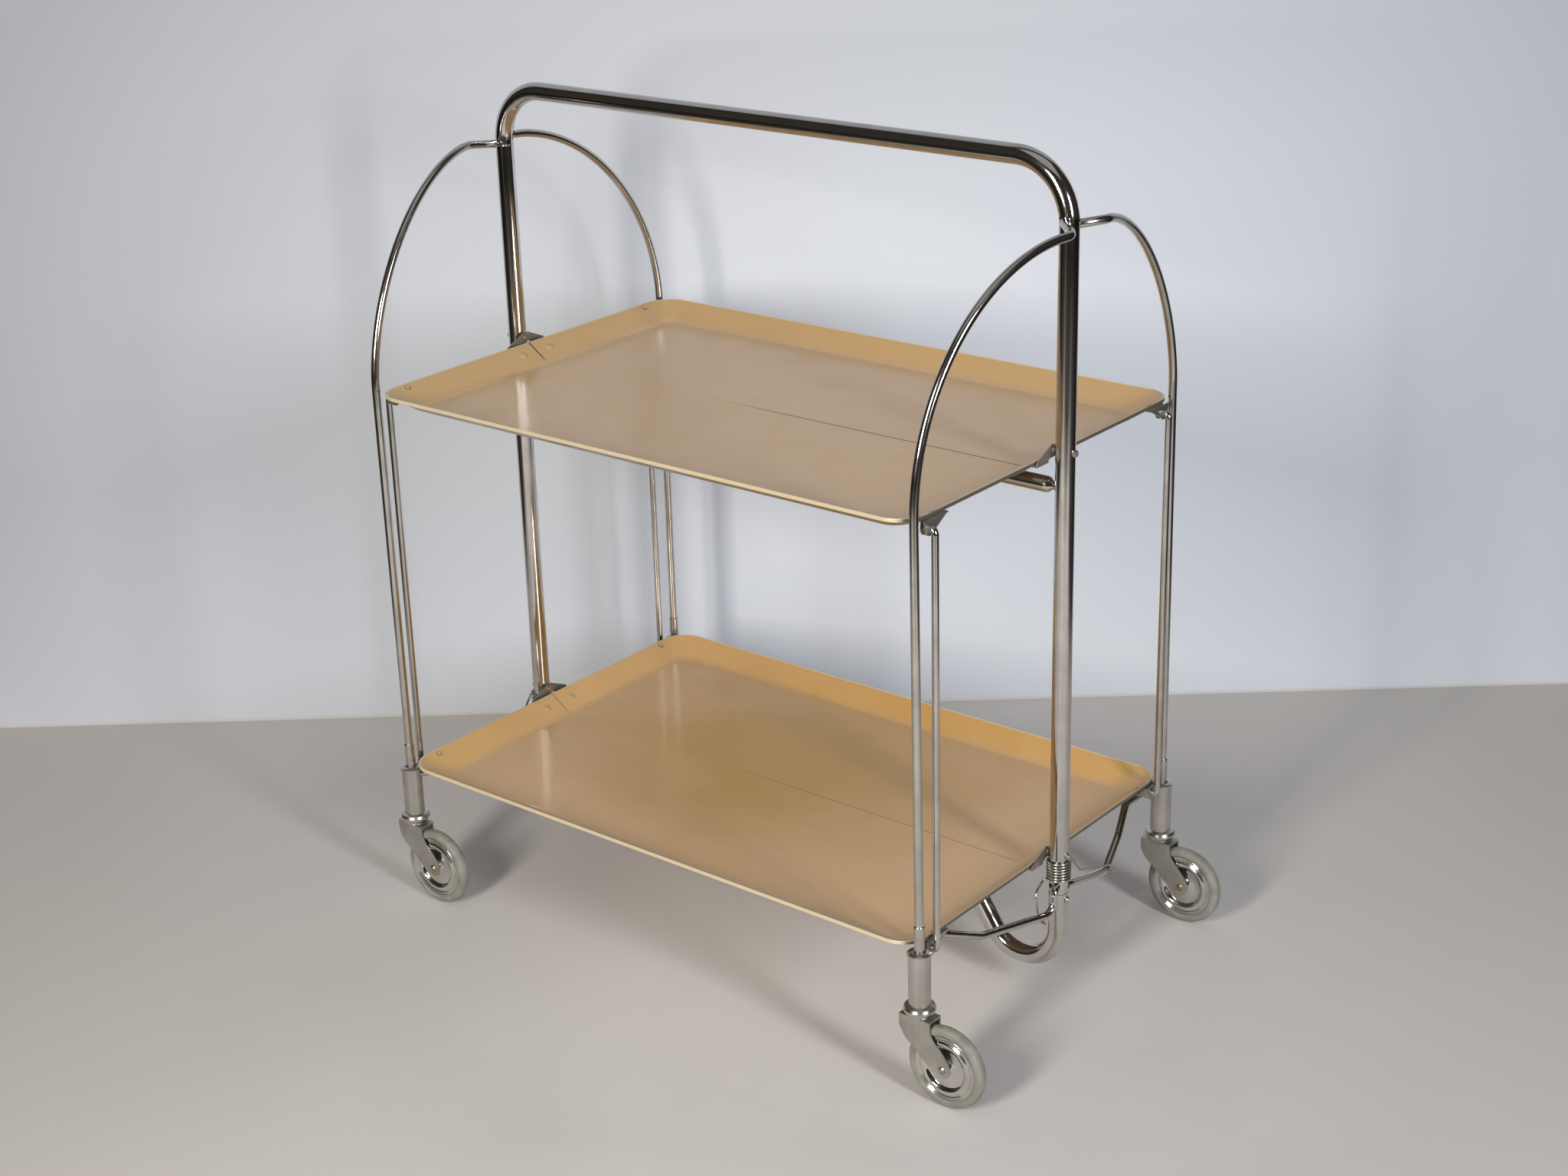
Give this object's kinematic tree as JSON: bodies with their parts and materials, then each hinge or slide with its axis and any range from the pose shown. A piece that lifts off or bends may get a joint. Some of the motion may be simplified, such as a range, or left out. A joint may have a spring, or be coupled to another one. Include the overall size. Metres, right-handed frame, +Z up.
{
  "type": "folding tea trolley",
  "caption": "Folding serving trolley with two rimmed trays whose leaves fold up about a tubular handle hoop, on swinging gate legs with casters.",
  "frame": {"origin": "on the floor, under the middle of the whole trolley's bounding box", "axes": "+X along the handle bar, from the far end to the near end, the way all four casters trail; -Y is the front; +Z is up"},
  "size_m": [0.6894, 0.4148, 0.7658],
  "materials": {
    "hoop_plating": "bright nickel plate, fine wear",
    "foot_plating": "bright nickel plate, slightly dulled",
    "stretcher_plating": "bright nickel plate",
    "rod_plating": "bright nickel plate on drawn rod",
    "plug_steel": "turned steel",
    "pin_nickel": "nickel-plated head",
    "spring_wire": "zinc-plated spring wire",
    "tray_enamel": "soft-gloss baked enamel, sand beige",
    "bracket_enamel": "baked enamel, sand beige",
    "rivet_enamel": "baked enamel over rivet head",
    "socket_nickel": "satin nickel with bright edges",
    "fork_zinc": "zinc-plated pressed steel, worn",
    "axle_steel": "zinc-plated, yellowed",
    "disc_chrome": "bright pressed disc",
    "tyre_rubber": "grey rubber"
  },
  "bodies": {
    "frame": {"handle_frame": "hoop_plating", "foot_tube": "foot_plating", "stretcher": "stretcher_plating", "pivot_plugs": "plug_steel", "foot_rivets": "pin_nickel", "hinge_pins": "pin_nickel", "spring_near": "spring_wire", "spring_far": "spring_wire"},
    "upper_leaf_front": {"leaf_upper_front": "tray_enamel", "hinge_brackets_upper_front": "bracket_enamel", "corner_brackets_upper_front": "bracket_enamel", "rivets_upper_front": "rivet_enamel"},
    "upper_leaf_rear": {"leaf_upper_rear": "tray_enamel", "hinge_brackets_upper_rear": "bracket_enamel", "corner_brackets_upper_rear": "bracket_enamel", "rivets_upper_rear": "rivet_enamel"},
    "lower_leaf_front": {"leaf_lower_front": "tray_enamel", "hinge_brackets_lower_front": "bracket_enamel", "corner_brackets_lower_front": "bracket_enamel", "rivets_lower_front": "rivet_enamel"},
    "lower_leaf_rear": {"leaf_lower_rear": "tray_enamel", "hinge_brackets_lower_rear": "bracket_enamel", "corner_brackets_lower_rear": "bracket_enamel", "rivets_lower_rear": "rivet_enamel"},
    "link_front_near": {"link_rod_front_near": "rod_plating"},
    "gate_front_near": {"leg_front_near": "rod_plating", "stay_front_near": "rod_plating", "socket_front_near": "socket_nickel"},
    "caster_front_near": {"fork_front_near": "fork_zinc", "axle_front_near": "axle_steel"},
    "wheel_front_near": {"wheel_disc_front_near": "disc_chrome", "tyre_front_near": "tyre_rubber"},
    "link_front_far": {"link_rod_front_far": "rod_plating"},
    "gate_front_far": {"leg_front_far": "rod_plating", "stay_front_far": "rod_plating", "socket_front_far": "socket_nickel"},
    "caster_front_far": {"fork_front_far": "fork_zinc", "axle_front_far": "axle_steel"},
    "wheel_front_far": {"wheel_disc_front_far": "disc_chrome", "tyre_front_far": "tyre_rubber"},
    "link_rear_near": {"link_rod_rear_near": "rod_plating"},
    "gate_rear_near": {"leg_rear_near": "rod_plating", "stay_rear_near": "rod_plating", "socket_rear_near": "socket_nickel"},
    "caster_rear_near": {"fork_rear_near": "fork_zinc", "axle_rear_near": "axle_steel"},
    "wheel_rear_near": {"wheel_disc_rear_near": "disc_chrome", "tyre_rear_near": "tyre_rubber"},
    "link_rear_far": {"link_rod_rear_far": "rod_plating"},
    "gate_rear_far": {"leg_rear_far": "rod_plating", "stay_rear_far": "rod_plating", "socket_rear_far": "socket_nickel"},
    "caster_rear_far": {"fork_rear_far": "fork_zinc", "axle_rear_far": "axle_steel"},
    "wheel_rear_far": {"wheel_disc_rear_far": "disc_chrome", "tyre_rear_far": "tyre_rubber"}
  },
  "joints": [
    {"name": "fold_front", "type": "hinge", "parent": "frame", "child": "upper_leaf_front", "pos_m": [-0.0217, 0, 0.5175], "axis": [-1, 0, 0], "range_deg": [0, 90]},
    {"name": "lower_fold_front", "type": "hinge", "parent": "frame", "child": "lower_leaf_front", "pos_m": [-0.0217, 0, 0.1472], "axis": [-1, 0, 0], "range_deg": [0, 90]},
    {"name": "link_swing_front_near", "type": "hinge", "parent": "upper_leaf_front", "child": "link_front_near", "pos_m": [0.2843, -0.176, 0.5021], "axis": [-1, 0, 0], "range_deg": [-90, 0]},
    {"name": "gate_swing_front_near", "type": "hinge", "parent": "frame", "child": "gate_front_near", "pos_m": [0.2903, 0, 0.4], "axis": [0, 0, -1], "range_deg": [0, 50], "deforming": ["spring_near"]},
    {"name": "caster_swivel_front_near", "type": "hinge", "parent": "gate_front_near", "child": "caster_front_near", "pos_m": [0.2793, -0.1936, 0.09], "axis": [0, 0, 1], "continuous": true},
    {"name": "wheel_spin_front_near", "type": "hinge", "parent": "caster_front_near", "child": "wheel_front_near", "pos_m": [0.3073, -0.1936, 0.0373], "axis": [0, 1, 0], "continuous": true},
    {"name": "link_swing_front_far", "type": "hinge", "parent": "upper_leaf_front", "child": "link_front_far", "pos_m": [-0.3277, -0.176, 0.5021], "axis": [-1, 0, 0], "range_deg": [-90, 0]},
    {"name": "gate_swing_front_far", "type": "hinge", "parent": "frame", "child": "gate_front_far", "pos_m": [-0.3337, 0, 0.4], "axis": [0, 0, 1], "range_deg": [0, 50], "deforming": ["spring_far"]},
    {"name": "caster_swivel_front_far", "type": "hinge", "parent": "gate_front_far", "child": "caster_front_far", "pos_m": [-0.3227, -0.1936, 0.09], "axis": [0, 0, 1], "continuous": true},
    {"name": "wheel_spin_front_far", "type": "hinge", "parent": "caster_front_far", "child": "wheel_front_far", "pos_m": [-0.2947, -0.1936, 0.0373], "axis": [0, 1, 0], "continuous": true},
    {"name": "fold_rear", "type": "hinge", "parent": "frame", "child": "upper_leaf_rear", "pos_m": [-0.0217, 0, 0.5175], "axis": [1, 0, 0], "range_deg": [0, 90]},
    {"name": "lower_fold_rear", "type": "hinge", "parent": "frame", "child": "lower_leaf_rear", "pos_m": [-0.0217, 0, 0.1472], "axis": [1, 0, 0], "range_deg": [0, 90]},
    {"name": "link_swing_rear_near", "type": "hinge", "parent": "upper_leaf_rear", "child": "link_rear_near", "pos_m": [0.2843, 0.176, 0.5021], "axis": [1, 0, 0], "range_deg": [-90, 0]},
    {"name": "gate_swing_rear_near", "type": "hinge", "parent": "frame", "child": "gate_rear_near", "pos_m": [0.2903, 0, 0.4], "axis": [0, 0, 1], "range_deg": [0, 50], "deforming": ["spring_near"]},
    {"name": "caster_swivel_rear_near", "type": "hinge", "parent": "gate_rear_near", "child": "caster_rear_near", "pos_m": [0.2793, 0.1936, 0.09], "axis": [0, 0, 1], "continuous": true},
    {"name": "wheel_spin_rear_near", "type": "hinge", "parent": "caster_rear_near", "child": "wheel_rear_near", "pos_m": [0.3073, 0.1936, 0.0373], "axis": [0, 1, 0], "continuous": true},
    {"name": "link_swing_rear_far", "type": "hinge", "parent": "upper_leaf_rear", "child": "link_rear_far", "pos_m": [-0.3277, 0.176, 0.5021], "axis": [1, 0, 0], "range_deg": [-90, 0]},
    {"name": "gate_swing_rear_far", "type": "hinge", "parent": "frame", "child": "gate_rear_far", "pos_m": [-0.3337, 0, 0.4], "axis": [0, 0, -1], "range_deg": [0, 50], "deforming": ["spring_far"]},
    {"name": "caster_swivel_rear_far", "type": "hinge", "parent": "gate_rear_far", "child": "caster_rear_far", "pos_m": [-0.3227, 0.1936, 0.09], "axis": [0, 0, 1], "continuous": true},
    {"name": "wheel_spin_rear_far", "type": "hinge", "parent": "caster_rear_far", "child": "wheel_rear_far", "pos_m": [-0.2947, 0.1936, 0.0373], "axis": [0, 1, 0], "continuous": true}
  ],
  "couplings": [
    {"joint": "lower_fold_front", "follows": "fold_front", "ratio": 1},
    {"joint": "link_swing_front_near", "follows": "fold_front", "ratio": -1},
    {"joint": "gate_swing_front_near", "follows": "fold_front", "ratio": 0.03},
    {"joint": "link_swing_front_far", "follows": "fold_front", "ratio": -1},
    {"joint": "gate_swing_front_far", "follows": "fold_front", "ratio": 0.03},
    {"joint": "lower_fold_rear", "follows": "fold_rear", "ratio": 1},
    {"joint": "link_swing_rear_near", "follows": "fold_rear", "ratio": -1},
    {"joint": "gate_swing_rear_near", "follows": "fold_rear", "ratio": 0.03},
    {"joint": "link_swing_rear_far", "follows": "fold_rear", "ratio": -1},
    {"joint": "gate_swing_rear_far", "follows": "fold_rear", "ratio": 0.03}
  ]
}
